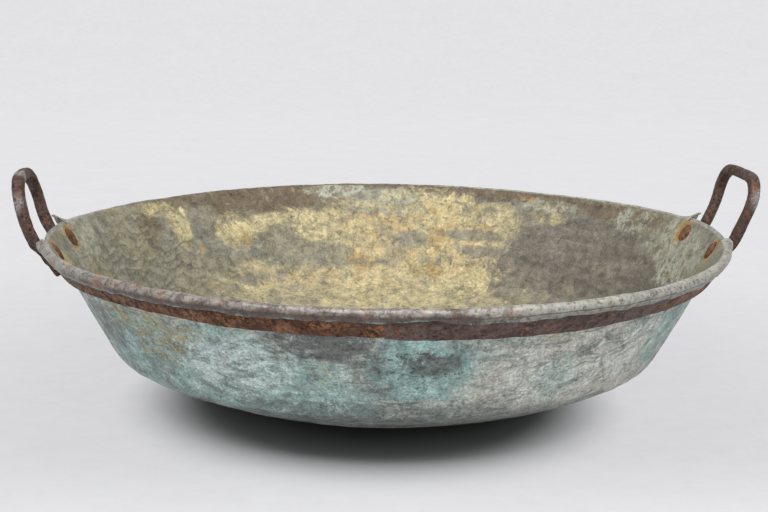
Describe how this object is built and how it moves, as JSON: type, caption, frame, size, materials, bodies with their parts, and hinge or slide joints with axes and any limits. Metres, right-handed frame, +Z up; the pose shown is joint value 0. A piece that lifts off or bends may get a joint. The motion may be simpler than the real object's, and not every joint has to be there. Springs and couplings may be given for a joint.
{
  "type": "copper jam pan",
  "caption": "Wide open copper pan with sloping walls, its lip folded over an iron hoop, and upright iron loop handles riveted at opposite sides.",
  "frame": {"origin": "centre of the flat that the pan stands on", "axes": "+Z up; +X towards the right handle; -Y towards the front"},
  "size_m": [0.8656, 0.8, 0.2735],
  "materials": {
    "copper_patina": "dull copper under grey-green patina, verdigris and lime crust",
    "hoop_iron": "wrought iron, rusted, flaky",
    "handle_iron": "forged iron, dark brown, worn shiny at the grips",
    "rusted_iron": "hammered iron, orange rust"
  },
  "bodies": {
    "root": {"pan_bowl": "copper_patina", "long_hoop_strap": "hoop_iron", "short_hoop_strap": "hoop_iron", "hoop_joint_pins": "rusted_iron", "left_handle": "handle_iron", "right_handle": "handle_iron", "left_front_rivet": "rusted_iron", "left_back_rivet": "rusted_iron", "right_front_rivet": "rusted_iron", "right_back_rivet": "rusted_iron"}
  },
  "joints": []
}
